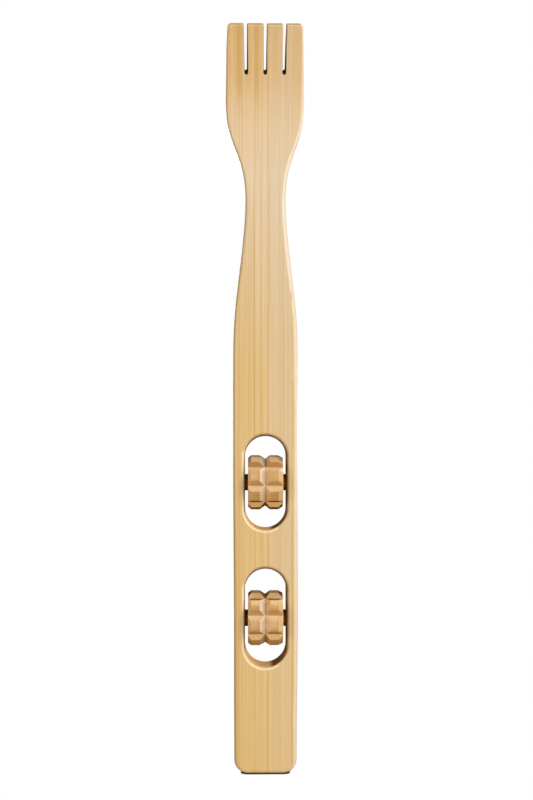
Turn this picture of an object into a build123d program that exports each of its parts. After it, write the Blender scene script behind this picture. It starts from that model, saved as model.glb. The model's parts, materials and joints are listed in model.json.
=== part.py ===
from build123d import *
import os
from math import cos, radians, sin, tan

# Bamboo back scratcher with two massage rollers in its handle.
# Frame: +Z runs along the handle from the flat foot end at z = 0.  The front
# faces -Y, and left is -X.  The rollers' windows open along Y and the tines
# curve towards -Y.  Millimetres.

os.makedirs("parts", exist_ok=True)

# ---------------------------------------------------------------------------
# Dimensions
# ---------------------------------------------------------------------------
# handle
HANDLE_W = 42.4          # greatest width
HANDLE_T = 16.0          # thickness
EDGE_R = 2.8             # rounding of the long edges
FOOT_CORNER_R = 9.0      # foot corners, seen from the front
STRAIGHT_TOP = 240.0     # the handle ends and the neck begins here
# the sides draw in slightly towards the foot: points (x, z) on each side
LEFT_SIDE = (
    (-20.4, 0.0), (-20.6, 50.0), (-20.6, 97.0), (-21.0, 160.0),
    (-HANDLE_W / 2, STRAIGHT_TOP),
)
RIGHT_SIDE = (
    (20.4, 0.0), (20.6, 38.0), (21.15, 80.0), (21.2, 150.0),
    (HANDLE_W / 2, STRAIGHT_TOP),
)

# windows for the rollers
WINDOW_W = 27.0          # clear width, also the diameter of the round ends
WINDOW_RIM_R = 2.1       # rounding of both rims
LOWER_WINDOW_Z = (69.7, 133.8)
UPPER_WINDOW_Z = (159.4, 220.6)

# axles
LOWER_AXLE_Z = 100.4
UPPER_AXLE_Z = 189.9
AXLE_R = 5.4

# rollers; an apothem is the distance from the axle's centre to a flat
BORE_CLEARANCE = 0.06    # radial running clearance, roller on axle
ROLLER_W = 22.8          # length of a roller along its axle
TEETH = 8                # blocks around the roller, in two rows
TOOTH_CORNER_R = 17.9    # radius of the corners of the flat block tops
TOOTH_HALF_ANGLE = 11.0  # half the angle that a block top spans
CROSS_R = 16.0           # radius of the bottom of the cross grooves
MID_GROOVE_APOTHEM = 14.4  # bottom of the groove between the two rows
MID_GROOVE_X = -0.15     # centre of that groove
LEFT_TOP_X = (-9.4, -3.75)  # block tops of the left row, along the axle
RIGHT_TOP_X = (2.9, 8.3)    # block tops of the right row
FACE_APOTHEM = 15.2      # size of the roller's end faces
UPPER_ROLLER_TURN = -3.5  # angle of a cross groove above the front, degrees
LOWER_ROLLER_TURN = 17.5
PITCH = 360.0 / TEETH
TOP_APOTHEM = TOOTH_CORNER_R * cos(radians(TOOTH_HALF_ANGLE))

# curved head
BEND_Z = 417.0           # the bend towards -Y starts here
BEND_R = 53.0            # radius of the bend, on the front face
BEND_ANGLE = 40.0
TINE_L = 32.4            # length of the tines above the bend
TINE_EXTRA = 6.0         # further turn along the tines, degrees
TINE_STEPS = 40          # steps that the tines' curve is summed in
TIP_CORNER_R = 2.2       # outer corners of the first and last tine
TINE_CORNER_R = 0.9      # the tines' other corners, beside the slots
TINE_RIM_R = 0.6         # rounding of the slots' rims and around the tines' ends

# slots between the tines
SLOT_X = (-12.4, -0.3, 11.8)
SLOT_SKEW = (6.5, 4.5, 6.5)  # degrees, the slots lean to -X towards the back
SLOT_W = 1.95
SLOT_START = 38.0        # distance of the slot bottoms along the front face

# Shape of the neck and head: distance along the front face measured from
# BEND_Z, half width, centre in x, thickness, edge rounding.
STATIONS = (
    (-177.0, 21.20, 0.00, 16.0, 2.80),
    (-160.0, 21.20, 0.00, 16.0, 2.80),
    (-146.0, 21.19, 0.00, 15.95, 2.80),
    (-134.0, 21.02, 0.00, 15.75, 2.80),
    (-121.0, 20.42, 0.00, 15.30, 2.80),
    (-108.0, 19.32, 0.00, 14.60, 2.75),
    (-95.0, 17.80, 0.00, 13.70, 2.70),
    (-82.0, 16.22, 0.00, 12.75, 2.65),
    (-69.0, 14.80, 0.00, 11.80, 2.60),
    (-57.0, 13.72, 0.00, 11.00, 2.55),
    (-46.0, 13.16, 0.00, 10.35, 2.50),
    (-37.0, 13.28, 0.00, 9.85, 2.45),
    (-28.0, 14.20, -0.03, 9.40, 2.40),
    (-19.0, 16.15, -0.08, 9.00, 2.35),
    (-10.0, 19.20, -0.14, 8.60, 2.30),
    (-1.0, 22.40, -0.22, 8.25, 2.20),
    (7.0, 24.45, -0.32, 8.00, 2.10),
    (15.0, 25.25, -0.42, 7.75, 2.05),
    (24.0, 25.30, -0.48, 7.45, 1.95),
    (34.0, 24.95, -0.52, 7.05, 1.80),
    (44.0, 24.60, -0.56, 6.20, 1.60),
    (55.0, 24.15, -0.60, 4.95, 1.35),
    (63.0, 23.65, -0.62, 3.85, 1.10),
    (69.4, 23.15, -0.62, 3.00, 0.90),
)
TIP_DISTANCE, TIP_HALF_W, TIP_CENTRE_X = STATIONS[-1][:3]


# ---------------------------------------------------------------------------
# The front face's curve
# ---------------------------------------------------------------------------
def front_point(distance):
    """Point (y, z) and tilt of the front face at a distance along it."""
    y, z = -HANDLE_T / 2, BEND_Z
    bend = radians(BEND_ANGLE)
    arc_length = BEND_R * bend
    if distance <= 0:
        return y, z + distance, 0.0
    if distance <= arc_length:
        tilt = distance / BEND_R
        return y - BEND_R * (1 - cos(tilt)), z + BEND_R * sin(tilt), tilt
    y -= BEND_R * (1 - cos(bend))
    z += BEND_R * sin(bend)
    step = (distance - arc_length) / TINE_STEPS
    for i in range(TINE_STEPS):
        tilt = bend + radians(TINE_EXTRA) * (i + 0.5) * step / TINE_L
        y -= sin(tilt) * step
        z += cos(tilt) * step
    return y, z, tilt


def front_frame(distance):
    """Point on the front face at x = 0, its direction along and outwards."""
    y, z, tilt = front_point(distance)
    along = Vector(0, -sin(tilt), cos(tilt))
    outward = Vector(0, -cos(tilt), -sin(tilt))
    return Vector(0, y, z), along, outward


def section_plane(distance, centre_x, thickness):
    """Plane across the neck or head, its y axis towards the front."""
    point, along, outward = front_frame(distance)
    origin = point + Vector(centre_x, 0, 0) - outward * (thickness / 2)
    return Plane(origin=origin, x_dir=(-1, 0, 0), z_dir=along)


# ---------------------------------------------------------------------------
# The glued blank, shaped, before it is divided into its strips
# ---------------------------------------------------------------------------
def on_flat_face(edge):
    """Whether an edge lies in the handle's front or back face."""
    return abs(abs(edge.center().Y) - HANDLE_T / 2) < 1e-4


def make_handle():
    """Straight handle with rounded foot, without windows or bores."""
    with BuildPart() as handle:
        with BuildSketch(Plane.XZ) as outline:
            with BuildLine():
                Spline(*LEFT_SIDE, tangents=((0, 1), (0, 1)))
                Spline(*RIGHT_SIDE, tangents=((0, 1), (0, 1)))
                Line(LEFT_SIDE[0], RIGHT_SIDE[0])
                Line(LEFT_SIDE[-1], RIGHT_SIDE[-1])
            make_face()
            fillet(outline.vertices().group_by(Axis.Y)[0], FOOT_CORNER_R)
        extrude(amount=HANDLE_T / 2, both=True)
        # the top end stays sharp, where the neck joins
        rims = [
            e for e in handle.edges()
            if on_flat_face(e) and e.center().Z < STRAIGHT_TOP - 1
        ]
        fillet(rims, EDGE_R)
    return handle.part


def make_neck_and_head():
    """Loft through all the stations, without slots."""
    with BuildPart() as neck_and_head:
        for distance, half_width, centre_x, thickness, radius in STATIONS:
            with BuildSketch(section_plane(distance, centre_x, thickness)):
                RectangleRounded(2 * half_width, thickness, radius)
        loft()
    return neck_and_head.part


SLOT_CUT_L = 50.0        # length of the slot cutters, past the tips
SLOT_CUT_DEPTH = 14.0    # their reach to each side of the front face
CORNER_CUT_DEPTH = 6.0   # reach of the corner cutters
TINE_CORNER_MARGIN = 0.8  # how far the corner cutters stand clear of the tines
TIP_CORNER_MARGIN = 2.0
RIM_ZONE_Z = 445.0       # the rounded rims of the tines lie above this
RIM_ZONE_X = 20.9        # the slots' rims lie within this of the middle


def make_board(handle, neck_and_head):
    """The whole board, with windows, axle bores and tines."""
    with BuildPart() as board:
        add(handle)
        # windows, cut and rounded while the front and back are flat
        for z_low, z_high in (LOWER_WINDOW_Z, UPPER_WINDOW_Z):
            with BuildSketch(Plane.XZ):
                with Locations((0, (z_low + z_high) / 2)):
                    SlotOverall(z_high - z_low, WINDOW_W, rotation=90)
            extrude(amount=HANDLE_T, both=True, mode=Mode.SUBTRACT)
        window_rims = [
            e for e in board.edges()
            if on_flat_face(e)
            and abs(e.center().X) < WINDOW_W / 2 + 0.5
            and LOWER_WINDOW_Z[0] - 1 < e.center().Z < UPPER_WINDOW_Z[1] + 1
        ]
        fillet(window_rims, WINDOW_RIM_R)
        # axle bores through both cheeks
        for axle_z in (LOWER_AXLE_Z, UPPER_AXLE_Z):
            with BuildSketch(Plane.YZ):
                with Locations((0, axle_z)):
                    Circle(AXLE_R)
            extrude(amount=HANDLE_W, both=True, mode=Mode.SUBTRACT)
        add(neck_and_head)

        # slots between the tines, square to the ends of the tines but
        # leaning sideways by SLOT_SKEW
        start = front_frame(SLOT_START)[0]
        tip, tip_along, tip_out = front_frame(TIP_DISTANCE)
        depth = (tip - start).dot(tip_out)
        # corners to round: point, side it faces, cutting direction, radius, margin
        corners = []
        for x, skew in zip(SLOT_X, SLOT_SKEW):
            lean = tan(radians(skew))
            slot_dir = (tip_out + Vector(lean, 0, 0)).normalized()
            slot_plane = Plane(
                origin=start + Vector(x, 0, 0), x_dir=tip_along, z_dir=slot_dir
            )
            with BuildSketch(slot_plane):
                with Locations((SLOT_CUT_L / 2, 0)):
                    SlotOverall(SLOT_CUT_L, SLOT_W)
            extrude(amount=SLOT_CUT_DEPTH, both=True, mode=Mode.SUBTRACT)
            for side in (-1, 1):
                wall_x = x + depth * lean + side * SLOT_W / 2 / cos(radians(skew))
                corner = tip + Vector(wall_x, 0, 0)
                corners.append((corner, -side, slot_dir, TINE_CORNER_R, TINE_CORNER_MARGIN))
        for side in (-1, 1):
            corner = tip + Vector(TIP_CENTRE_X + side * TIP_HALF_W, 0, 0)
            corners.append((corner, side, tip_out, TIP_CORNER_R, TIP_CORNER_MARGIN))

        # round the corners of the tines, seen from the front
        for corner, side, direction, radius, margin in corners:
            corner_plane = Plane(origin=corner, x_dir=(side, 0, 0), z_dir=direction)
            up = 1 if corner_plane.y_dir.dot(tip_along) > 0 else -1
            offset = (margin - radius) / 2
            with BuildSketch(corner_plane):
                with Locations((offset, up * offset)):
                    Rectangle(radius + margin, radius + margin)
                with Locations((-radius, -up * radius)):
                    Circle(radius, mode=Mode.SUBTRACT)
            extrude(amount=CORNER_CUT_DEPTH, both=True, mode=Mode.SUBTRACT)

        # soften the rims of the slots and around the ends of the tines
        tine_rims = []
        for e in board.edges():
            if e.center().Z < RIM_ZONE_Z or e.geom_type == GeomType.LINE:
                continue
            from_end = max(abs((e @ f - tip).dot(tip_along)) for f in (0, 0.5, 1))
            if from_end < 1e-3 or abs(e.center().X) < RIM_ZONE_X:
                tine_rims.append(e)
        fillet(tine_rims, TINE_RIM_R)
    return board.part


# ---------------------------------------------------------------------------
# The strips of bamboo that the blank is glued up from.  The windows and the
# narrow neck cut some of them into separate pieces.
# ---------------------------------------------------------------------------
# outer limits of the cutting blocks, clear of the board
SIDE = 40.0
BACK = 60.0
BOTTOM = -5.0
TOP = 490.0

# glue lines across the width, and the strips between them
GLUE_X = (-14.9, -7.0, 1.6, 9.3, 17.0)
LEFT_EDGE_X = (-SIDE, GLUE_X[0])
LEFT_X = (-SIDE, GLUE_X[1])
MID_LEFT_X = (GLUE_X[1], GLUE_X[2])
MID_RIGHT_X = (GLUE_X[2], GLUE_X[3])
RIGHT_X = (GLUE_X[3], SIDE)
RIGHT_EDGE_X = (GLUE_X[4], SIDE)

# Between these heights the waist is narrower than the outer strips, and what
# little of them is left belongs to the next strip in.
LEFT_WAIST = (345.0, 393.0)
RIGHT_WAIST = (324.0, 402.5)

# the middle strips are parted inside the windows
LOWER_MID = sum(LOWER_WINDOW_Z) / 2
UPPER_MID = sum(UPPER_WINDOW_Z) / 2
FOOT_Z = (BOTTOM, LOWER_MID)
BRIDGE_Z = (LOWER_MID, UPPER_MID)
NECK_Z = (UPPER_MID, TOP)

# cutting block of each strip: x range, z range
STRIP_BLOCKS = {
    "left_edge_strip_handle": (LEFT_EDGE_X, (BOTTOM, LEFT_WAIST[0])),
    "left_edge_strip_head": (LEFT_EDGE_X, (LEFT_WAIST[1], TOP)),
    "left_strip": (LEFT_X, (BOTTOM, TOP)),
    "mid_left_strip_foot": (MID_LEFT_X, FOOT_Z),
    "mid_left_strip_bridge": (MID_LEFT_X, BRIDGE_Z),
    "mid_left_strip_neck": (MID_LEFT_X, NECK_Z),
    "mid_right_strip_foot": (MID_RIGHT_X, FOOT_Z),
    "mid_right_strip_bridge": (MID_RIGHT_X, BRIDGE_Z),
    "mid_right_strip_neck": (MID_RIGHT_X, NECK_Z),
    "right_strip": (RIGHT_X, (BOTTOM, TOP)),
    "right_edge_strip_handle": (RIGHT_EDGE_X, (BOTTOM, RIGHT_WAIST[0])),
    "right_edge_strip_head": (RIGHT_EDGE_X, (RIGHT_WAIST[1], TOP)),
}
# strips whose block also covers other strips, which are taken out of it
COVERED_STRIPS = {
    "left_strip": ("left_edge_strip_handle", "left_edge_strip_head"),
    "right_strip": ("right_edge_strip_handle", "right_edge_strip_head"),
}


def block_size_and_centre(name):
    """Size and centre of a strip's cutting block."""
    (x_low, x_high), (z_low, z_high) = STRIP_BLOCKS[name]
    size = (x_high - x_low, 2 * BACK, z_high - z_low)
    centre = ((x_low + x_high) / 2, 0, (z_low + z_high) / 2)
    return size, centre


def make_strip(name, board):
    """One strip, cut out of the board."""
    with BuildPart() as strip:
        add(board)
        size, centre = block_size_and_centre(name)
        with Locations(centre):
            Box(*size, mode=Mode.INTERSECT)
        for covered in COVERED_STRIPS.get(name, ()):
            size, centre = block_size_and_centre(covered)
            with Locations(centre):
                Box(*size, mode=Mode.SUBTRACT)
    return strip.part


# ---------------------------------------------------------------------------
# Axles: plain dowels glued into both cheeks, their ends flush with the sides
# ---------------------------------------------------------------------------
def make_axle(axle_z, handle):
    with BuildPart() as axle:
        with BuildSketch(Plane.YZ):
            with Locations((0, axle_z)):
                Circle(AXLE_R)
        extrude(amount=HANDLE_W, both=True)
        add(handle, mode=Mode.INTERSECT)
    return axle.part


# ---------------------------------------------------------------------------
# Rollers: two rows of flat-topped blocks with a groove all round between the
# rows and V grooves across them
# ---------------------------------------------------------------------------
CUT_TOP = TOOTH_CORNER_R + 1.5   # the cutters reach out to here
CUT_BOTTOM = FACE_APOTHEM - 1    # the bevel cutters reach in to here
CUT_OVERHANG = 3.0               # bevel cutters, past the end faces
CUT_HALF_WIDTH = 9.0             # cutters, to each side of a block's middle


def star_points(turn, axle_z):
    """Outline of a roller across its axle, block corners and grooves."""
    points = []
    for k in range(TEETH):
        groove = turn + k * PITCH
        for angle, radius in (
            (groove, CROSS_R),
            (groove + PITCH / 2 - TOOTH_HALF_ANGLE, TOOTH_CORNER_R),
            (groove + PITCH / 2 + TOOTH_HALF_ANGLE, TOOTH_CORNER_R),
        ):
            a = radians(angle)
            points.append((-radius * cos(a), axle_z + radius * sin(a)))
    return points


def side_plane(turn, k, axle_z):
    """Plane through the axle and the middle of block k, y axis outwards."""
    a = radians(turn + (k + 0.5) * PITCH)
    return Plane(origin=(0, 0, axle_z), x_dir=(1, 0, 0), z_dir=(0, -sin(a), -cos(a)))


def run_to(p, q, height):
    """Point on the line from p through q at the given height."""
    f = (height - p[1]) / (q[1] - p[1])
    return (p[0] + f * (q[0] - p[0]), height)


def mid_groove():
    """Cutter outline of the V groove between the two rows."""
    bottom = (MID_GROOVE_X, MID_GROOVE_APOTHEM)
    return (
        bottom,
        run_to(bottom, (RIGHT_TOP_X[0], TOP_APOTHEM), CUT_TOP),
        run_to(bottom, (LEFT_TOP_X[1], TOP_APOTHEM), CUT_TOP),
    )


def bevel(side, top_x):
    """Cutter outline of the bevel from a block top to the end face."""
    edge = (side * ROLLER_W / 2, FACE_APOTHEM)
    top = (top_x, TOP_APOTHEM)
    outer_x = side * (ROLLER_W / 2 + CUT_OVERHANG)
    return (
        run_to(top, edge, CUT_BOTTOM),
        run_to(edge, top, CUT_TOP),
        (outer_x, CUT_TOP),
        (outer_x, CUT_BOTTOM),
    )


ROLLER_CUTS = (mid_groove(), bevel(-1, LEFT_TOP_X[0]), bevel(1, RIGHT_TOP_X[1]))


def make_roller(turn, axle_z):
    with BuildPart() as roller:
        with BuildSketch(Plane.YZ):
            with BuildLine():
                Polyline(*star_points(turn, axle_z), close=True)
            make_face()
            with Locations((0, axle_z)):
                Circle(AXLE_R + BORE_CLEARANCE, mode=Mode.SUBTRACT)
        extrude(amount=ROLLER_W / 2, both=True)
        for k in range(TEETH):
            with BuildSketch(side_plane(turn, k, axle_z)):
                for outline in ROLLER_CUTS:
                    with BuildLine():
                        Polyline(*outline, close=True)
                    make_face()
            extrude(amount=CUT_HALF_WIDTH, both=True, mode=Mode.SUBTRACT)
    return roller.part


# ---------------------------------------------------------------------------
# Build and write the pieces
# ---------------------------------------------------------------------------
handle = make_handle()
board = make_board(handle, make_neck_and_head())

pieces = {name: make_strip(name, board) for name in STRIP_BLOCKS}
pieces["upper_axle"] = make_axle(UPPER_AXLE_Z, handle)
pieces["lower_axle"] = make_axle(LOWER_AXLE_Z, handle)
pieces["upper_roller"] = make_roller(UPPER_ROLLER_TURN, UPPER_AXLE_Z)
pieces["lower_roller"] = make_roller(LOWER_ROLLER_TURN, LOWER_AXLE_Z)

for name, part in pieces.items():
    part.label = name
    export_step(part, f"parts/{name}.step")
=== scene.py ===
"""Bamboo back scratcher with two rollers in its board.

It stands upright: foot on z = 0, length along +z, x to the right seen from
the front, front face towards -y. The head bends forward, to -y, and ends in
tines. The board is glued from six upright strips and has two windows, one
above the other, each with a roller on an axle along x.
"""
import json
import math
from functools import reduce

import bpy
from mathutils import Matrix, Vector


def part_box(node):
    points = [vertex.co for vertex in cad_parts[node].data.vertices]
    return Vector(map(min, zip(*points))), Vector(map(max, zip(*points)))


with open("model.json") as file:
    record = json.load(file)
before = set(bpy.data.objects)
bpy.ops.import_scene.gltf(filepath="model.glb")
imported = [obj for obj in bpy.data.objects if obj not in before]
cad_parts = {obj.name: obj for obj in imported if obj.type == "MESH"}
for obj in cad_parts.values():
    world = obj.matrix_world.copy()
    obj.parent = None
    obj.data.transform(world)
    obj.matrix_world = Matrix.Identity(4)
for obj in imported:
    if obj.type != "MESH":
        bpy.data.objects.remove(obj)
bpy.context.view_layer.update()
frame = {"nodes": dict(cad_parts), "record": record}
nodes = frame["nodes"]
scene = bpy.context.scene

# ------------------------------------------------------------------ sizes, mm
MM = 1000.0  # mm in a metre


def low_corner(node):
    return [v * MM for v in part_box(node)[0]]


def high_corner(node):
    return [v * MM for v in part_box(node)[1]]


AXLE_Z = {
    joint["child"]: joint["pos_m"][2] * MM
    for joint in frame["record"]["behaviour"]["joints"]
}
AXLE_HALF_LENGTH = high_corner("upper_axle")[0]
# x of the five glue lines, left to right
GLUE_OUTER_LEFT = high_corner("left_edge_strip_handle")[0]
GLUE_LEFT = high_corner("left_strip")[0]
GLUE_MIDDLE = high_corner("mid_left_strip_foot")[0]
GLUE_RIGHT = high_corner("mid_right_strip_foot")[0]
GLUE_OUTER_RIGHT = low_corner("right_edge_strip_handle")[0]
HALF_THICKNESS = -low_corner("mid_left_strip_foot")[1]

# The middle strips stop on the windows' round ends, at their edge that is
# farther from the middle; the window reaches END_DROP beyond that point.
WINDOW_R = 13.5
END_DROP = WINDOW_R - math.sqrt(WINDOW_R ** 2 - max(abs(GLUE_LEFT), abs(GLUE_MIDDLE)) ** 2)
# bottom and top z of the lower and the upper window
WINDOWS = tuple(
    (
        high_corner(f"mid_left_strip_{under}")[2] - END_DROP,
        low_corner(f"mid_left_strip_{over}")[2] + END_DROP,
    )
    for under, over in (("foot", "bridge"), ("bridge", "neck"))
)

# the head: an arc from BEND_Z, its radius on the front face, then straight
# tines that lean a little more than the arc
BEND_Z = 417.0
BEND_R = 53.0
BEND_ANGLE = math.radians(40.0)
TINE_TILT = math.radians(43.0)
SLOT_PITCH = 12.1
SLOT_X = [-0.3 + SLOT_PITCH * i for i in (-1, 0, 1)]
SLOT_START = BEND_Z + 39.0  # along the fibres
TINES_FROM = BEND_Z + 60.0  # along the fibres, where end grain may show
FIBRE_LENGTH = 490.0  # foot to tine tips along the fibres


# ------------------------------------------------------------------ shader nodes
def srgb(*channels):
    """Linear RGBA of an sRGB colour given as 0 to 255."""
    out = []
    for c in channels:
        c = c / 255.0
        out.append(c / 12.92 if c <= 0.04045 else ((c + 0.055) / 1.055) ** 2.4)
    return (*out, 1.0)


class Tree:
    """Wires the shader nodes of a material or world; colour is the base
    colour so far, which tint() paints over."""

    def __init__(self, owner):
        owner.use_nodes = True
        self.owner = owner
        self.tree = owner.node_tree
        self.tree.nodes.clear()
        self.colour = None

    def add(self, kind, **props):
        node = self.tree.nodes.new(kind)
        for key, value in props.items():
            setattr(node, key, value)
        return node

    def put(self, socket, value):
        if isinstance(value, bpy.types.NodeSocket):
            self.tree.links.new(value, socket)
        else:
            socket.default_value = value

    def math(self, operation, *values):
        node = self.add("ShaderNodeMath", operation=operation)
        for socket, value in zip(node.inputs, values):
            self.put(socket, value)
        return node.outputs[0]

    def chain(self, operation, values):
        return reduce(lambda a, b: self.math(operation, a, b), values)

    def mul(self, *values):
        return self.chain("MULTIPLY", values)

    def plus(self, *values):
        return self.chain("ADD", values)

    def largest(self, *values):
        return self.chain("MAXIMUM", values)

    def minus(self, a, b):
        return self.math("SUBTRACT", a, b)

    def size(self, a, b):
        """Length of the vector (a, b)."""
        return self.math("SQRT", self.plus(self.mul(a, a), self.mul(b, b)))

    def choose(self, mask, yes, no):
        return self.plus(self.mul(yes, mask), self.mul(no, self.minus(1.0, mask)))

    def ramp(self, value, start, end, first=0.0, last=1.0, smooth=True):
        """Goes from first to last while value goes from start to end."""
        node = self.add(
            "ShaderNodeMapRange",
            interpolation_type="SMOOTHSTEP" if smooth else "LINEAR",
        )
        self.put(node.inputs["Value"], value)
        node.inputs["From Min"].default_value = start
        node.inputs["From Max"].default_value = end
        node.inputs["To Min"].default_value = first
        node.inputs["To Max"].default_value = last
        return node.outputs[0]

    def fall(self, value, start, end):
        return self.ramp(value, start, end, 1.0, 0.0)

    def hump(self, value, start, full, wane, end):
        """0 before start, 1 from full to wane, 0 after end."""
        return self.mul(self.ramp(value, start, full), self.fall(value, wane, end))

    def near(self, offset, core, rim):
        """1 within core of offset 0 on either side, 0 beyond rim."""
        return self.fall(self.math("ABSOLUTE", offset), core, rim)

    def mix(self, share, under, over, blend="MIX"):
        node = self.add("ShaderNodeMix", data_type="RGBA", blend_type=blend)
        self.put(node.inputs["Factor"], share)
        self.put(node.inputs[6], under)
        self.put(node.inputs[7], over)
        return node.outputs[2]

    def tint(self, over, *masks, amount=None):
        """Paint over the colour where all masks are 1, by amount."""
        factors = masks if amount is None else (*masks, amount)
        self.colour = self.mix(self.mul(*factors), self.colour, over)

    def filtered(self, *rgb):
        """The colour so far, multiplied by a linear RGB filter."""
        return self.mix(1.0, self.colour, (*rgb, 1.0), "MULTIPLY")

    def grade(self, value, stops):
        """Colour along the fibres; stops are (distance, colour)."""
        node = self.add("ShaderNodeValToRGB")
        node.color_ramp.interpolation = "LINEAR"
        elements = node.color_ramp.elements
        while len(elements) < len(stops):
            elements.new(0.5)
        for element, (distance, colour) in zip(elements, stops):
            element.position = distance / FIBRE_LENGTH
            element.color = colour
        self.put(node.inputs[0], self.ramp(value, 0.0, FIBRE_LENGTH, smooth=False))
        return node.outputs[0]

    def vec(self, x, y, z):
        node = self.add("ShaderNodeCombineXYZ")
        for socket, value in zip(node.inputs, (x, y, z)):
            self.put(socket, value)
        return node.outputs[0]

    def split(self, vector):
        node = self.add("ShaderNodeSeparateXYZ")
        self.put(node.inputs[0], vector)
        return node.outputs

    def noise(self, vector, detail, rough=0.5):
        node = self.add("ShaderNodeTexNoise")
        self.put(node.inputs["Vector"], vector)
        node.inputs["Scale"].default_value = 1.0
        node.inputs["Detail"].default_value = detail
        node.inputs["Roughness"].default_value = rough
        node.inputs["Distortion"].default_value = 0.0
        return node.outputs[0]

    def bundles(self, across, up, core, rim):
        """Dots of the fibre bundles on end grain."""
        node = self.add("ShaderNodeTexVoronoi", feature="F1")
        self.put(node.inputs["Vector"], self.vec(across, up, 0.0))
        node.inputs["Scale"].default_value = 1.0
        return self.fall(node.outputs["Distance"], core, rim)

    def place(self):
        """Position on the part in mm, as x, y, z."""
        scaled = self.add("ShaderNodeVectorMath", operation="SCALE")
        self.put(scaled.inputs[0], self.add("ShaderNodeTexCoord").outputs["Object"])
        scaled.inputs["Scale"].default_value = MM
        return self.split(scaled.outputs[0])

    def normal(self):
        """Normal on the part, as x, y, z."""
        return self.split(self.add("ShaderNodeTexCoord").outputs["Normal"])

    def grazing(self, start, end):
        """1 where the surface turns away from the eye, 0 where it faces it."""
        node = self.add("ShaderNodeLayerWeight")
        node.inputs["Blend"].default_value = 0.5
        return self.ramp(node.outputs["Facing"], start, end)

    def openness(self, samples, distance, **props):
        """Ambient occlusion: 1 in the open, 0 in tight corners."""
        node = self.add("ShaderNodeAmbientOcclusion", samples=samples, **props)
        node.inputs["Distance"].default_value = distance
        return node.outputs["AO"]

    def shader(self, kind, **inputs):
        node = self.add(kind)
        for key, value in inputs.items():
            self.put(node.inputs[key.replace("_", " ")], value)
        return node.outputs[0]

    def camera_split(self, others, seen):
        """One shader for camera rays, another for all other rays."""
        node = self.add("ShaderNodeMixShader")
        self.put(node.inputs[0], self.add("ShaderNodeLightPath").outputs["Is Camera Ray"])
        self.put(node.inputs[1], others)
        self.put(node.inputs[2], seen)
        return node.outputs[0]

    def output(self, shader, kind="ShaderNodeOutputMaterial"):
        self.put(self.add(kind).inputs["Surface"], shader)
        return self.owner

    def surface(self, rough, height, strength, depth, **inputs):
        """Finish with the colour so far and a bump of depth metres."""
        bump = self.shader("ShaderNodeBump", Strength=strength, Distance=depth, Height=height)
        return self.output(self.shader(
            "ShaderNodeBsdfPrincipled",
            Base_Color=self.colour, Roughness=rough, Normal=bump, **inputs,
        ))


def material_tree(name):
    return Tree(bpy.data.materials.new(name))


# ------------------------------------------------------------------ bamboo strips
# Colour by distance from the foot along the fibres; the neck and palm are
# paler than the handle and the tines, partly the wood's own tone and partly
# a painted sheen of the lacquer.
WARM = (
    (0, srgb(221, 185, 121)),
    (260, srgb(220, 184, 121)),
    (390, srgb(225, 199, 163)),
    (430, srgb(223, 191, 146)),
    (460, srgb(239, 198, 135)),
)
# cool stops: paler wood, partly painted light where the right strips use them
COOL = (
    (0, srgb(222, 188, 134)),
    (290, srgb(216, 188, 144)),
    (390, srgb(221, 198, 164)),
    (430, srgb(220, 192, 152)),
    (460, srgb(238, 202, 151)),
)
RIGHT_EDGE_HIGHLIGHT = srgb(236, 219, 196)
LEFT_EDGE_SHADE = srgb(160, 112, 56)
FOOT_EDGE_SHADE = srgb(176, 122, 62)
STRIP_END, STRIP_END_DOTS = srgb(205, 172, 124), srgb(150, 110, 64)
WALL_DARK, WALL_LIGHT = srgb(92, 54, 14), srgb(116, 74, 24)
LIT_WINDOW_FLOOR, WINDOW_BACK_EDGE_SHADE = srgb(250, 202, 134), srgb(124, 78, 30)
WINDOW_RIM_HIGHLIGHT = srgb(255, 232, 190)
SLOT_ROOT_SHADE, SLOT_OPEN_SHADE = srgb(34, 19, 6), srgb(164, 122, 70)
SLOT_RIM_HIGHLIGHT = srgb(240, 214, 168)


def grain_space(t):
    """Sets t.x across, t.depth behind the front face, t.along the fibres
    and t.z height, in mm. The fibres follow the bend of the head."""
    x, y, z = t.place()
    # the arc, about its centre
    from_centre = t.plus(y, BEND_R + HALF_THICKNESS)
    above_bend = t.minus(z, BEND_Z)
    angle = t.math("ARCTAN2", above_bend, from_centre)
    arc_depth = t.minus(t.size(from_centre, above_bend), BEND_R)
    arc_along = t.math("MULTIPLY_ADD", angle, BEND_R, BEND_Z)
    # the straight tines, from where the arc ends
    cos, sin = math.cos(TINE_TILT), math.sin(TINE_TILT)
    tine_y = t.minus(y, -HALF_THICKNESS - BEND_R * (1 - math.cos(BEND_ANGLE)))
    tine_z = t.minus(z, BEND_Z + BEND_R * math.sin(BEND_ANGLE))
    tine_depth = t.plus(t.mul(tine_y, cos), t.mul(tine_z, sin))
    tine_along = t.plus(t.mul(tine_y, -sin), t.mul(tine_z, cos), BEND_Z + BEND_R * BEND_ANGLE)
    board_depth = t.plus(y, HALF_THICKNESS)
    in_arc = t.math("GREATER_THAN", z, BEND_Z)
    in_tines = t.mul(t.math("GREATER_THAN", angle, BEND_ANGLE), in_arc)

    def pick(board, arc, tine):
        return t.choose(in_tines, tine, t.choose(in_arc, arc, board))

    t.x = x
    t.z = z
    t.depth = pick(board_depth, arc_depth, tine_depth)
    t.along = pick(z, arc_along, tine_along)


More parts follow.
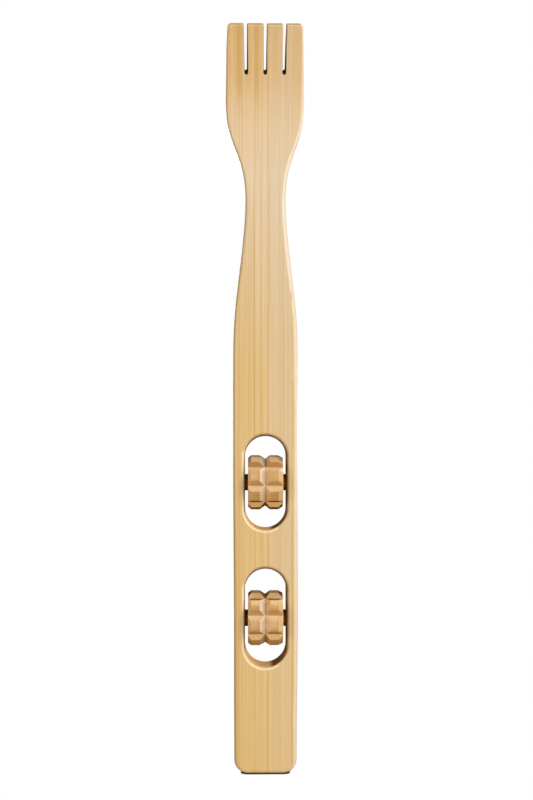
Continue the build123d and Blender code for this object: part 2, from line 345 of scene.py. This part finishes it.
def fibres(t, seed, cool):
    """Base colour and fibres; sets t.shift, t.fine, t.hair and t.ochre."""
    # the fibres wander up to 1.2 mm sideways over their length
    wander = t.noise(t.vec(seed * 3.1, 0.0, t.mul(t.along, 0.009)), detail=1.0)
    t.shift = t.math("MULTIPLY_ADD", wander, 2.4, -1.2)
    across = t.plus(t.x, t.plus(t.shift, seed * 37.0))

    def fibre(per_mm, length, detail, rough=0.5, flatness=0.45):
        return t.noise(
            t.vec(
                t.mul(across, per_mm),
                t.mul(t.depth, per_mm * flatness),
                t.math("DIVIDE", t.along, length),
            ),
            detail, rough,
        )

    t.hair = fibre(per_mm=3.6, length=40.0, detail=2.0, rough=0.6)
    t.fine = fibre(per_mm=1.25, length=130.0, detail=2.0)
    medium = fibre(per_mm=0.42, length=260.0, detail=1.0)
    t.colour = t.mix(cool, t.grade(t.along, WARM), t.grade(t.along, COOL))
    # tone: weighted sum of the three fibre sizes, 0 on average
    fine_tone, medium_tone, hair_tone = (
        t.mul(t.minus(size, 0.5), weight)
        for size, weight in ((t.fine, 0.7), (medium, 0.8), (t.hair, 0.6))
    )
    tone = t.plus(fine_tone, t.plus(medium_tone, hair_tone))
    darker = t.filtered(0.88, 0.81, 0.62)
    lighter = t.mix(0.22, t.colour, (1.0, 0.93, 0.80, 1.0))
    for shade, full_tone in ((darker, 0.55), (lighter, -0.55)):
        t.tint(shade, t.ramp(tone, 0.0, full_tone, last=0.75, smooth=False))
    t.ochre = t.filtered(0.82, 0.70, 0.46)
    # thin ochre threads between the wider fibres
    threads = fibre(per_mm=0.95, length=420.0, detail=1.0, flatness=0.6)
    t.tint(t.ochre, t.hump(threads, 0.575, 0.62, 0.66, 0.70), amount=0.3 - 0.12 * cool)


def streaks_along(t, marks, follow, core, margin):
    """Ochre streaks that follow the wander by a share, are solid over the
    core share of their half width and fade over margin mm at their ends."""
    for centre, half_width, strength, start, end in marks:
        offset = t.minus(t.plus(t.x, t.mul(t.shift, follow)), centre)
        streak = t.near(offset, half_width * core, half_width)
        reach = t.hump(t.along, start - margin, start + margin, end - margin, end + margin)
        t.tint(t.ochre, streak, reach, amount=strength)


def glue_lines(t, seed, glue):
    strength_noise = t.noise(t.vec(seed * 11.0, 0.0, t.mul(t.along, 0.02)), detail=2.0)
    for edge, strength in glue:
        line = t.near(t.minus(t.x, edge), 0.1, 0.62)
        t.tint(t.ochre, line, t.ramp(strength_noise, 0.3, 0.7, 0.55 * strength, strength))


def rounded_edge(t, normal, side, round_from):
    """The board's rounded long edge, side 1 right or -1 left: a cream painted
    highlight after a fine line where the rounding starts on the right, ochre
    and brown painted shade on the left."""
    reached = t.ramp(t.along, round_from, round_from + 8.0)
    true_normal = t.split(t.add("ShaderNodeNewGeometry").outputs["True Normal"])
    turning = t.ramp(t.mul(true_normal[0], side), 0.01, 0.08)
    outward = t.mul(normal[0], side, reached, turning)
    body = t.hump(outward, 0.14, 0.3, 0.88, 0.98)
    if side > 0:
        start_line = t.hump(outward, 0.02, 0.08, 0.14, 0.26)
        below_head = t.fall(t.along, 380.0, 430.0)
        t.tint(t.ochre, start_line, below_head, amount=0.55)
        # painted highlight: cream on the right rounding, which faces the light
        t.tint(RIGHT_EDGE_HIGHLIGHT, body, amount=0.5)
    else:
        # painted shade: ochre and brown on the left rounding, away from the light
        t.tint(t.ochre, t.ramp(outward, 0.1, 0.65, last=0.55), body)
        t.tint(LEFT_EDGE_SHADE, t.hump(outward, 0.5, 0.8, 0.9, 0.98), amount=0.15)


def end_grain(t, normal):
    """Darker ends at the tines and the foot, with the fibre bundles."""
    # part of the normal along the fibres, which tilt forward in the head
    tilt = t.ramp(t.z, BEND_Z, 460.0)
    end_y = t.mul(normal[1], t.mul(tilt, -0.70))
    end_z = t.mul(normal[2], t.minus(1.0, t.mul(tilt, 0.28)))
    facing_end = t.ramp(t.math("ABSOLUTE", t.plus(end_y, end_z)), 0.80, 0.97)
    at_end = t.plus(
        t.math("GREATER_THAN", t.along, TINES_FROM),
        t.math("LESS_THAN", t.z, 2.0),
    )
    dots = t.bundles(t.mul(t.x, 1.5), t.mul(t.depth, 1.2), core=0.18, rim=0.42)
    end_colour = t.mix(t.mul(dots, 0.45), STRIP_END, STRIP_END_DOTS)
    t.tint(end_colour, facing_end, t.mul(at_end, 0.85))
    # painted shade on the sides just above the foot, where the rounding turns down to the floor
    t.tint(FOOT_EDGE_SHADE, t.ramp(t.z, 2.2, 0.6), t.minus(1.0, facing_end), amount=0.5)


def window_walls(t):
    """Window walls painted brown, bare wood darkened with painted shade, with painted
    highlights on some rims and a painted lit floor; returns the walls' mask.
    """
    walls, rim_highlights, lit_floors = [], [], []
    for bottom, top in WINDOWS:
        centre = t.math("MINIMUM", t.math("MAXIMUM", t.z, bottom + WINDOW_R), top - WINDOW_R)
        dz = t.minus(t.z, centre)
        radius = t.size(t.x, dz)
        # high at the upper right, low at the lower left
        side = t.math("DIVIDE", t.plus(t.mul(t.x, 0.55), t.mul(dz, 0.85)), radius)
        # painted shade: the brown reaches farther out on the rims that face down and left, away
        # from the light
        reach = t.ramp(side, -0.4, 0.7, 0.55, 2.8)
        left = t.minus(t.plus(reach, WINDOW_R + 0.05), radius)
        walls.append(t.ramp(t.math("DIVIDE", left, reach), 0.0, 1.0))
        # painted highlight: the rims that face up and right are painted paler
        ring = t.hump(radius, *(WINDOW_R + out for out in (0.4, 0.8, 1.6, 2.1)))
        rim_highlights.append(t.mul(ring, t.ramp(side, -0.2, -0.5)))
        close = t.math("LESS_THAN", radius, WINDOW_R + 3.0)
        lit_floors.append(t.mul(t.ramp(side, -0.55, -0.8), close))
    # the walls' brown: bare wood, darkened as painted shade
    brown = t.mix(t.ramp(t.fine, 0.3, 0.7), WALL_DARK, WALL_LIGHT)
    # painted light and shade: the floor of a window, facing up, is painted paler, with painted
    # shade along its back edge
    pale = t.mix(t.ramp(t.depth, 13.6, 15.2), LIT_WINDOW_FLOOR, WINDOW_BACK_EDGE_SHADE)
    wall = t.largest(*walls)
    t.tint(t.mix(t.largest(*lit_floors), brown, pale), wall, amount=0.95)
    # painted highlight on the rims
    t.tint(WINDOW_RIM_HIGHLIGHT, t.largest(*rim_highlights), amount=0.65)
    return wall


def slot_walls(t):
    """Walls of the slots between the tines, painted dark as shade, darkest at the root; returns
    their mask.
    """
    walls, rims = [], []
    for slot_x in SLOT_X:
        # the slots lean slightly with depth
        dx = t.plus(t.minus(t.x, slot_x), t.mul(t.depth, 0.10))
        beyond = t.minus(t.minus(t.along, SLOT_START), t.mul(t.depth, 0.07))
        distance = t.size(dx, t.math("MINIMUM", beyond, 0.0))
        walls.append(t.fall(distance, 1.02, 1.5))
        # painted highlight: a paler line along the rims
        ring = t.hump(distance, 1.4, 1.65, 1.9, 2.3)
        rims.append(t.mul(ring, t.ramp(t.along, SLOT_START - 3.0, SLOT_START)))
    wall = t.mul(t.largest(*walls), t.math("GREATER_THAN", t.z, 440.0))
    # painted shade on the slot walls, near black deep at the root
    t.tint(t.mix(t.ramp(t.along, 452.0, 480.0), SLOT_ROOT_SHADE, SLOT_OPEN_SHADE), wall, amount=0.9)
    # painted highlight along the slot rims
    t.tint(SLOT_RIM_HIGHLIGHT, t.largest(*rims), amount=0.35)
    return wall


def bamboo(name, seed, cool, glue, lines=(), bands=(), side=0, round_from=-20.0):
    """One strip under satin lacquer."""
    t = material_tree(name)
    grain_space(t)
    fibres(t, seed, cool)
    streaks_along(t, bands, follow=0.5, core=0.5, margin=12)
    glue_lines(t, seed, glue)
    streaks_along(t, lines, follow=0.35, core=0.2, margin=20)
    normal = t.normal()
    if side:
        rounded_edge(t, normal, side, round_from)
    end_grain(t, normal)
    windows = window_walls(t)
    bare = t.largest(windows, slot_walls(t))
    # bare walls are rougher and have no lacquer
    return t.surface(
        rough=t.plus(t.math("MULTIPLY_ADD", t.fine, 0.1, 0.33), t.mul(bare, 0.25)),
        height=t.plus(t.mul(t.fine, 0.5), t.mul(t.hair, 0.5)),
        strength=0.3, depth=0.00003,
        Specular_IOR_Level=t.ramp(bare, 0.0, 0.8, 0.35, 0.0),
        Coat_Weight=t.ramp(bare, 0.0, 1.0, 0.12, 0.0),
        Coat_Roughness=0.28,
    )


# ------------------------------------------------------------------ turned parts
ROLLER_DARK, ROLLER_LIGHT = srgb(206, 160, 102), srgb(216, 174, 118)
STREAK = srgb(168, 120, 66)
TRAIL_BEVEL_SHADE, LEAD_BEVEL_LIGHT = srgb(158, 106, 46), srgb(250, 220, 176)
DARK_TOP_EDGE = srgb(150, 100, 44)
HIGH_TOP_LIGHT, LOW_TOP_SHADE = srgb(255, 214, 156), srgb(168, 118, 56)
RIGHT_BEVEL_HIGHLIGHT, LEFT_BEVEL_LIGHT = srgb(238, 220, 192), srgb(238, 194, 144)
WORN_EDGE_HIGHLIGHT, GROOVE_SHADE, ROLLER_EDGE_SHADE = srgb(244, 214, 168), srgb(150, 100, 50), srgb(126, 82, 36)
DOWEL_DARK, DOWEL_LIGHT, DOWEL_EDGE_SHADE = srgb(82, 46, 4), srgb(142, 94, 16), srgb(20, 10, 3)
DOWEL_END, DOWEL_END_DOTS = srgb(205, 165, 108), srgb(140, 98, 50)


def axle_noise(t, x, y, z, seed, x_rate, yz_rate, detail, rough=0.5):
    """Noise with one rate per mm along the axle and another across it."""
    lifted = t.math("MULTIPLY_ADD", z, yz_rate, seed)
    return t.noise(t.vec(t.mul(x, x_rate), t.mul(y, yz_rate), lifted), detail, rough)


def block_marks(t, x, y, z, start, shade_top):
    """Painted light and shade on the blocks, eight around the roller, set for the
    roller at rest and turning with it; start is the first block's angle in degrees."""
    # position within a block, 0 to 1, upwards on the front
    angle = t.math("ARCTAN2", z, t.mul(y, -1.0))
    turn = t.math("DIVIDE", t.plus(angle, math.radians(360.0 - start)), math.radians(45.0))
    phase = t.math("FRACT", turn)
    # painted shade and light: the trailing bevel, the lower one on each block at
    # rest, is painted browner, except above a given height, and the leading one is painted pale
    trail = t.mul(t.fall(phase, 0.20, 0.29), t.fall(z, shade_top - 1.0, shade_top + 1.0))
    t.tint(TRAIL_BEVEL_SHADE, trail, t.ramp(z, 4.0, 10.0, 0.45, 0.8))
    lead = t.mul(t.ramp(phase, 0.71, 0.80), t.fall(z, 12.0, 14.0))
    t.tint(LEAD_BEVEL_LIGHT, lead, t.ramp(z, 2.0, 8.0, 0.3, 0.7))
    # flat block tops, in two rows along x
    rows = t.largest(t.hump(x, -9.5, -9.2, -3.9, -3.6), t.hump(x, 2.8, 3.1, 8.15, 8.45))
    flat = t.mul(rows, t.hump(phase, 0.25, 0.27, 0.73, 0.75))
    # a darker line inside the right and lower edge of each top
    right_line = t.largest(
        t.near(t.plus(x, 4.05), 0.15, 0.5),
        t.near(t.minus(x, 8.0), 0.15, 0.5),
    )
    low_line = t.near(t.minus(phase, 0.285), 0.012, 0.04)
    t.tint(DARK_TOP_EDGE, t.mul(flat, t.largest(right_line, low_line)), amount=0.4)
    # painted light on the tops high on the roller, painted shade on those below the axle
    t.tint(HIGH_TOP_LIGHT, flat, t.ramp(z, 10.0, 12.5, last=0.55))
    t.tint(LOW_TOP_SHADE, flat, t.ramp(z, -1.5, -4.0, last=0.32))


def roller_wood(name, seed, axle_z, start, streak_rates, shade_top=99.0):
    """Ground bamboo: brown and satin, with the grinder's streaks; painted shade in
    the grooves, on the lower half and where it turns away, painted light and
    shade on the blocks, and pale edges, partly wear and partly painted highlight."""
    t = material_tree(name)
    x, y, z = t.place()
    z = t.minus(z, axle_z)
    streaks = axle_noise(t, x, y, z, seed, *streak_rates, detail=2.0, rough=0.6)
    cloud = axle_noise(t, x, y, z, seed * 2, x_rate=0.11, yz_rate=0.11, detail=1.0)
    t.colour = t.mix(t.ramp(cloud, 0.35, 0.65), ROLLER_DARK, ROLLER_LIGHT)
    t.tint(STREAK, t.ramp(streaks, 0.5, 0.72), amount=0.34)
    block_marks(t, x, y, z, start, shade_top)
    # painted light: bevels that face +x get a pale painted highlight, those that face -x are
    # painted a lighter tan
    facing_x = t.normal()[0]
    right_bevel = t.hump(facing_x, 0.2, 0.45, 0.9, 0.97)
    t.tint(RIGHT_BEVEL_HIGHLIGHT, right_bevel, t.ramp(x, 2.0, 6.0, 0.7, 0.15))
    t.tint(LEFT_BEVEL_LIGHT, t.hump(facing_x, -0.2, -0.45, -0.9, -0.97), amount=0.4)
    # painted shade: a browner lower half, more so at the very bottom
    t.tint(t.filtered(0.88, 0.78, 0.56), t.ramp(z, -2.0, -9.0, last=0.75))
    t.tint(t.filtered(0.95, 0.86, 0.62), t.ramp(z, -12.0, -14.0, last=0.6))
    # pale edges, partly wear and partly painted highlight, found by comparing the rounded
    # normal with the true one
    rounded = t.add("ShaderNodeBevel", samples=6)
    rounded.inputs["Radius"].default_value = 0.0005
    match = t.add("ShaderNodeVectorMath", operation="DOT_PRODUCT")
    t.put(match.inputs[0], rounded.outputs[0])
    t.put(match.inputs[1], t.add("ShaderNodeNewGeometry").outputs["Normal"])
    t.tint(WORN_EDGE_HIGHLIGHT, t.fall(match.outputs["Value"], 0.93, 0.995), amount=0.55)
    # painted shade in the grooves, from ambient occlusion
    openness = t.openness(samples=8, distance=0.004, only_local=True)
    t.tint(GROOVE_SHADE, t.fall(openness, 0.35, 0.95), amount=0.5)
    # painted shade where the roller turns away from the eye
    away = t.grazing(0.55, 0.85)
    t.tint(ROLLER_EDGE_SHADE, away, amount=0.85)
    return t.surface(
        rough=t.ramp(streaks, 0.3, 0.7, 0.42, 0.55),
        height=streaks, strength=0.5, depth=0.00006,
        Specular_IOR_Level=t.ramp(away, 0.0, 0.6, 0.12, 0.0),
    )


def dowel_wood(name, seed, half_length):
    """Dark dowel, its brown partly its own tone and partly painted shade from the gap it sits
    in: fibres along the axle, fibre bundles on its ends.
    """
    t = material_tree(name)
    x, y, z = t.place()
    fibre = axle_noise(t, x, y, z, seed, x_rate=0.06, yz_rate=1.6, detail=3.0, rough=0.6)
    dots = t.bundles(t.mul(y, 1.4), t.mul(z, 1.4), core=0.15, rim=0.4)
    at_end = t.ramp(t.math("ABSOLUTE", x), half_length - 1.2, half_length - 0.9)
    t.colour = t.mix(t.ramp(fibre, 0.3, 0.7), DOWEL_DARK, DOWEL_LIGHT)
    t.tint(t.mix(t.mul(dots, 0.6), DOWEL_END, DOWEL_END_DOTS), at_end, amount=0.85)
    # painted shade: dark where the dowel turns away from the eye
    t.tint(DOWEL_EDGE_SHADE, t.grazing(0.32, 0.75), t.minus(0.97, at_end))
    return t.surface(
        rough=t.ramp(fibre, 0.3, 0.7, 0.45, 0.6),
        height=fibre, strength=0.4, depth=0.00004, Specular_IOR_Level=0.06,
    )


# ------------------------------------------------------------------ painting
def paint(node, material):
    part = nodes[node]
    if not part.data.materials:
        part.data.materials.append(material)
    for slot in part.material_slots:
        slot.material = material


# Strips from left to right. cool: 0 warm to 1 cool, paler wood, on the right
# strips partly painted light from the right; glue: x, strength;
# lines and bands: x, half width, strength, start and end along the fibres.
STRIPS = {
    "left_edge": dict(
        cool=0.0, glue=((GLUE_OUTER_LEFT, 0.5),), side=-1,
        # the first two bands darken the rounded left edge: painted shade on the side away from
        # the light
        bands=(
            (-19.4, 3.6, 0.3, -20, 220),
            (-19.0, 3.6, 0.25, 220, 350),
            (-17.0, 2.2, 0.5, 440, 500),
        )),
    "left": dict(
        cool=0.1, glue=((GLUE_OUTER_LEFT, 0.5), (GLUE_LEFT, 0.6)), side=-1,
        lines=((-11.3, 0.5, 0.5, 210, 350), (-7.7, 0.55, 0.85, 215, 372)),
        bands=((-11.0, 1.8, 0.30, 448, 500),)),
    "mid_left": dict(
        cool=0.15, glue=((GLUE_LEFT, 0.6), (GLUE_MIDDLE, 0.75)),
        lines=((-3.0, 0.5, 0.6, 220, 400),),
        bands=((-6.0, 2.2, 0.40, 440, 500),)),
    "mid_right": dict(
        cool=0.75, glue=((GLUE_MIDDLE, 0.75), (GLUE_RIGHT, 0.20)),
        lines=((2.6, 0.6, 0.35, 300, 400),)),
    "right": dict(
        cool=1.0, glue=((GLUE_RIGHT, 0.25), (GLUE_OUTER_RIGHT, 0.20)),
        side=1, round_from=264.0,
        lines=((11.5, 0.5, 0.6, 220, 345),)),
    "right_edge": dict(
        cool=0.6, glue=((GLUE_OUTER_RIGHT, 0.35),), side=1,
        bands=((16.9, 1.6, 0.35, 0, 170),)),
}
for seed, (strip, looks) in enumerate(STRIPS.items(), start=1):
    material = bamboo(f"bamboo_{strip}", seed, **looks)
    for node in nodes:
        if node.startswith(f"{strip}_strip"):
            paint(node, material)

dowel = dowel_wood("dowel_bamboo", 3.0, AXLE_HALF_LENGTH)
paint("upper_axle", dowel)
paint("lower_axle", dowel)

# streak noise rates per mm: along the axle, across it
ALONG_AXLE = (0.12, 1.5)
AROUND_AXLE = (1.6, 0.14)
paint("upper_roller", roller_wood(
    "roller_bamboo_upper", seed=1.0, axle_z=AXLE_Z["upper_roller"],
    start=-3.5, streak_rates=ALONG_AXLE))
paint("lower_roller", roller_wood(
    "roller_bamboo_lower", seed=5.0, axle_z=AXLE_Z["lower_roller"],
    start=17.5, streak_rates=AROUND_AXLE, shade_top=9.0))

# weld the flat facets' shared corners, then round the blocks' worn edges
for node in ("upper_roller", "lower_roller"):
    weld = nodes[node].modifiers.new("weld", "WELD")
    weld.merge_threshold = 0.00001
    bevel = nodes[node].modifiers.new("worn_edges", "BEVEL")
    bevel.width = 0.00022
    bevel.segments = 2
    bevel.limit_method = "ANGLE"
    bevel.angle_limit = math.radians(15)
    bevel.harden_normals = True

# ------------------------------------------------------------------ stage, metres
WHITE = (1, 1, 1, 1)
FLOOR_HALF = 6.0
FLOOR_Z = -0.00005  # just under the foot

floor_mesh = bpy.data.meshes.new("studio_floor")
corners = [(x * FLOOR_HALF, y * FLOOR_HALF, 0) for x, y in ((-1, -1), (1, -1), (1, 1), (-1, 1))]
floor_mesh.from_pydata(corners, [], [(0, 1, 2, 3)])
floor = bpy.data.objects.new("studio_floor", floor_mesh)
floor.location = (0, 0, FLOOR_Z)
scene.collection.objects.link(floor)

# the camera sees an evenly lit white floor with a contact shadow; other rays
# see a matt grey one
t = material_tree("studio_white")
shade = t.ramp(t.openness(samples=16, distance=0.0016), 0.45, 0.9, first=0.01)
lit = t.shader("ShaderNodeEmission", Color=WHITE, Strength=shade)
matt = t.shader("ShaderNodeBsdfDiffuse", Color=(0.35, 0.34, 0.33, 1))
floor_mesh.materials.append(t.output(t.camera_split(others=matt, seen=lit)))

# white backdrop for the camera, dim ambient light for the rest
scene.world = bpy.data.worlds.new("studio_world")
t = Tree(scene.world)
backdrop = t.shader("ShaderNodeBackground", Color=WHITE, Strength=1.0)
ambient = t.shader("ShaderNodeBackground", Color=(1.0, 0.99, 0.98, 1), Strength=0.12)
t.output(t.camera_split(others=ambient, seen=backdrop), "ShaderNodeOutputWorld")

LIGHT_TARGET = Vector((0, 0, 0.24))
# name, place, width, watts, height (None: square)
LIGHTS = (
    ("key", (1.55, -2.35, 1.35), 1.1, 40.0, None),
    ("left_fill", (-2.0, -1.6, 0.45), 1.2, 22.0, 0.8),
    ("low_right", (1.1, -2.2, 0.12), 1.1, 13.0, 0.22),
    ("low_left", (-1.1, -2.1, 0.12), 1.0, 8.5, 0.22),
    ("right_strip_light", (1.0, -0.1, 0.35), 0.35, 6.0, 1.0),
    ("back_fill", (-0.4, 1.9, 0.55), 1.0, 20.0, None),
    ("back_low", (0.9, 1.7, 0.15), 0.9, 9.0, 0.25),
)
for name, place, width, watts, height in LIGHTS:
    data = bpy.data.lights.new(name, "AREA")
    data.shape = "RECTANGLE" if height else "SQUARE"
    data.size = width
    if height:
        data.size_y = height
    data.energy = watts
    light = bpy.data.objects.new(name, data)
    light.location = place
    light.rotation_euler = (LIGHT_TARGET - Vector(place)).to_track_quat("-Z", "Y").to_euler()
    scene.collection.objects.link(light)

# level camera in front, turned to the right by 8.65 mm in 600 mm
camera_data = bpy.data.cameras.new("camera")
camera_data.sensor_width = 36.0
camera_data.sensor_fit = "AUTO"
camera_data.lens = 41.4
camera_data.clip_start = 0.01
camera_data.clip_end = 50.0
camera = bpy.data.objects.new("camera", camera_data)
camera.location = (-0.008, -0.608, 0.2442)
camera.rotation_euler = (math.radians(90.0), 0.0, -math.atan2(8.65, 600.0))
scene.collection.objects.link(camera)
scene.camera = camera

scene.view_settings.view_transform = "Standard"
scene.view_settings.look = "None"
scene.view_settings.exposure = 0.0
scene.view_settings.gamma = 1.0
